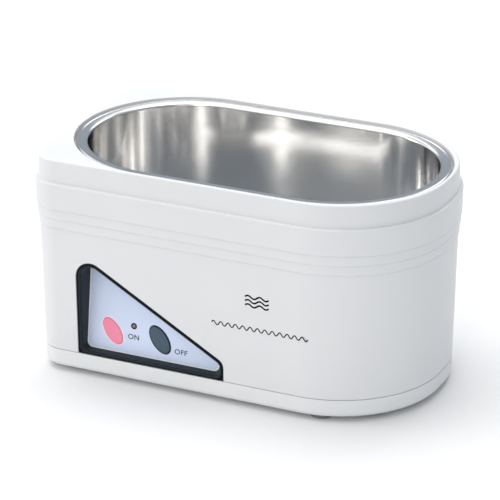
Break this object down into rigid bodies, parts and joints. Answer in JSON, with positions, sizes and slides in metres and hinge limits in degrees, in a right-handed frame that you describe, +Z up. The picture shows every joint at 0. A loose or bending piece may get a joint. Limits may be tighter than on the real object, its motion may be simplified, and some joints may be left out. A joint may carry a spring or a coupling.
{
  "type": "ultrasonic cleaner",
  "caption": "Table-top ultrasonic cleaner: oval drawn steel tank in a D-shaped moulded housing, with a sloping corner window that holds two push buttons and a lamp.",
  "frame": {"origin": "centre of the bounding box on the surface the feet stand on", "axes": "+X towards the round end, -Y the front with the control window, +Z up"},
  "size_m": [0.2, 0.1194, 0.1127],
  "materials": {
    "housing_plastic": "moulded ivory-white ABS, fine satin texture",
    "tank_steel": "deep-drawn stainless steel, polished flange",
    "bezel_plastic": "dark slate moulded plastic",
    "panel_film": "pale blue-lavender printed film on a plastic plate",
    "on_key": "pink soft-touch key",
    "off_key": "slate blue soft-touch key",
    "lamp_lens": "smoked lamp lens",
    "foot_rubber": "grey moulded rubber",
    "seal_silicone": "cured silicone",
    "screw_zinc": "zinc-plated steel",
    "cast_aluminium": "turned or extruded aluminium",
    "mass_steel": "turned steel",
    "piezo_ceramic": "fired ceramic, silvered faces",
    "contact_brass": "stamped brass",
    "contact_copper": "stamped copper",
    "winding_copper": "enamelled copper wire",
    "ferrite": "sintered ferrite",
    "device_epoxy": "moulded epoxy package",
    "board_green": "glass-epoxy board with green resist",
    "board_tan": "paper-phenolic board",
    "switch_plastic": "grey moulded plastic",
    "film_red": "dipped film capacitor",
    "sleeve_blue": "shrink sleeve on an aluminium can",
    "fuse_glass": "glass tube with metal caps",
    "wire_brown": "insulated wire",
    "wire_blue": "insulated wire",
    "wire_red": "insulated wire",
    "wire_black": "insulated wire",
    "wire_grey": "insulated cable"
  },
  "bodies": {
    "cleaner_body": {"upper_housing": "housing_plastic", "base_pan": "housing_plastic", "foot_front_left": "foot_rubber", "foot_front_right": "foot_rubber", "foot_rear_left": "foot_rubber", "foot_rear_right": "foot_rubber", "wash_tank": "tank_steel", "tank_seal": "seal_silicone", "window_bezel": "bezel_plastic", "control_panel": "panel_film", "power_lamp": "lamp_lens", "lamp_spacer": "switch_plastic", "control_board": "board_green", "on_switch_body": "switch_plastic", "off_switch_body": "switch_plastic", "driver_board": "board_tan", "transformer_core": "ferrite", "transformer_winding": "winding_copper", "heatsink": "cast_aluminium", "power_transistor": "device_epoxy", "transistor_screw": "screw_zinc", "filter_capacitor": "sleeve_blue", "film_capacitor": "film_red", "toroid_choke": "winding_copper", "fuse": "fuse_glass", "fuse_clip_left": "contact_brass", "fuse_clip_right": "contact_brass", "mains_inlet": "bezel_plastic", "inlet_pin_line": "contact_brass", "inlet_pin_neutral": "contact_brass", "transducer_front_mass": "cast_aluminium", "piezo_ring_upper": "piezo_ceramic", "piezo_ring_lower": "piezo_ceramic", "electrode_upper": "contact_copper", "electrode_lower": "contact_brass", "transducer_back_mass": "mass_steel", "preload_bolt": "screw_zinc", "mains_lead_line": "wire_brown", "mains_lead_neutral": "wire_blue", "transducer_lead_drive": "wire_red", "transducer_lead_ground": "wire_black", "control_cable": "wire_grey", "base_screw_1": "screw_zinc", "driver_board_screw_1": "screw_zinc", "base_screw_2": "screw_zinc", "driver_board_screw_2": "screw_zinc", "base_screw_3": "screw_zinc", "driver_board_screw_3": "screw_zinc", "base_screw_4": "screw_zinc", "driver_board_screw_4": "screw_zinc", "control_board_screw_1": "screw_zinc", "control_board_screw_2": "screw_zinc", "control_board_screw_3": "screw_zinc"},
    "on_button": {"on_button": "on_key", "on_switch_plunger": "bezel_plastic"},
    "off_button": {"off_button": "off_key", "off_switch_plunger": "bezel_plastic"}
  },
  "joints": [
    {"name": "on_button_press", "type": "slide", "parent": "cleaner_body", "child": "on_button", "axis": [0, 0.9915, -0.1299], "range_m": [0, 0.0006], "stiffness_N_per_m": 2000},
    {"name": "off_button_press", "type": "slide", "parent": "cleaner_body", "child": "off_button", "axis": [0, 0.9915, -0.1299], "range_m": [0, 0.0006], "stiffness_N_per_m": 2000}
  ]
}
